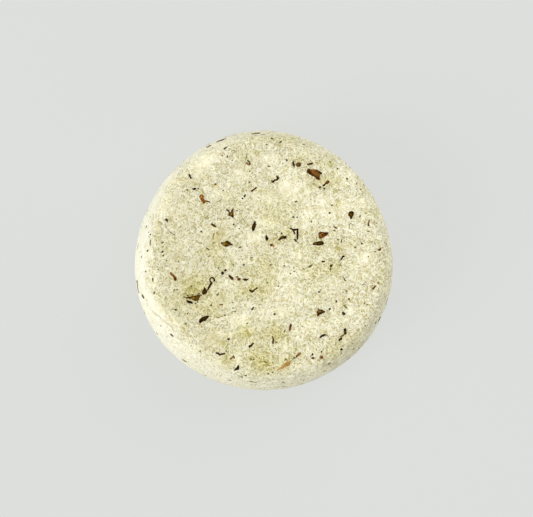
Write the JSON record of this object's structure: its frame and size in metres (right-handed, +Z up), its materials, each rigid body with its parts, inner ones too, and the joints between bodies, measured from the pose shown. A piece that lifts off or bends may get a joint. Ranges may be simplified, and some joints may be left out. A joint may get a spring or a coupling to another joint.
{
  "type": "shaving soap puck",
  "caption": "Round pressed shaving soap puck with a shallow off-centre dished top, rounded sides and pieces of dried herbs and petals bedded in its skin.",
  "frame": {"origin": "centre of the flat base that the puck rests on, in the middle of its outline", "axes": "+Z up through the dished top, the puck's short axis. +X to the right and +Y away when the puck is seen from above with the step in its press line at the lower left (206 degrees from +X)"},
  "size_m": [0.0698, 0.0704, 0.0264],
  "materials": {
    "soap": "dry waxy soap, cream mottled with pale olive, fine fibrous crystal texture",
    "bark_brown": "dry brown bark chips",
    "husk_dark": "near-black dried husk and seed shell",
    "petal_red": "dried red-brown petal, thin and wrinkled",
    "stem_tan": "dry tan plant stem and pale petal",
    "leaf_olive": "dried olive-brown leaf, veined and curled"
  },
  "bodies": {
    "root": {"soap_body": "soap", "bark_sliver": "bark_brown", "seed_shell_cupped": "leaf_olive", "calyx_teardrop": "husk_dark", "bark_chip_speckled": "bark_brown", "seed_hull_long": "husk_dark", "husk_flake_01": "husk_dark", "husk_flake_02": "husk_dark", "husk_flake_03": "husk_dark", "petal_crumb_amber": "petal_red", "husk_flake_04": "husk_dark", "husk_flake_05": "husk_dark", "husk_flake_06": "husk_dark", "leaf_crumb_01": "leaf_olive", "bark_crumb_01": "bark_brown", "husk_flake_07": "husk_dark", "calyx_trefoil": "leaf_olive", "husk_flake_08": "husk_dark", "petal_strip_red": "petal_red", "husk_flake_09": "leaf_olive", "leaf_curl_large": "leaf_olive", "leaf_curl_base": "husk_dark", "husk_flake_10": "husk_dark", "husk_chip_black": "husk_dark", "husk_flake_11": "leaf_olive", "husk_flake_12": "petal_red", "husk_flake_13": "husk_dark", "leaf_crumb_02": "leaf_olive", "husk_crescent": "bark_brown", "husk_flake_14": "husk_dark", "petal_orange": "petal_red", "leaf_cluster": "leaf_olive", "petal_pale": "stem_tan", "seed_spindle": "husk_dark", "leaf_lens": "leaf_olive", "husk_flake_15": "husk_dark", "leaf_crumb_03": "bark_brown", "leaf_wedge_01": "leaf_olive", "husk_wedge_dark": "husk_dark", "bark_chip_large": "bark_brown", "petal_frame_dark": "husk_dark", "petal_stem_amber": "stem_tan", "stem_bit_01": "husk_dark", "stem_bit_02": "husk_dark", "stem_bit_03": "bark_brown", "stem_elbow": "husk_dark", "stem_bit_04": "husk_dark", "stem_bit_05": "bark_brown", "leaf_vein_01": "leaf_olive", "stem_bit_06": "bark_brown", "stem_bit_07": "husk_dark", "stem_bit_08": "bark_brown", "husk_rim_strip": "leaf_olive", "tendril_curl": "husk_dark", "stem_bit_09": "husk_dark", "stem_bit_10": "husk_dark", "side_husk_01": "husk_dark", "side_bark_01": "bark_brown", "side_leaf_01": "leaf_olive", "side_petal_01": "petal_red"}
  },
  "joints": []
}
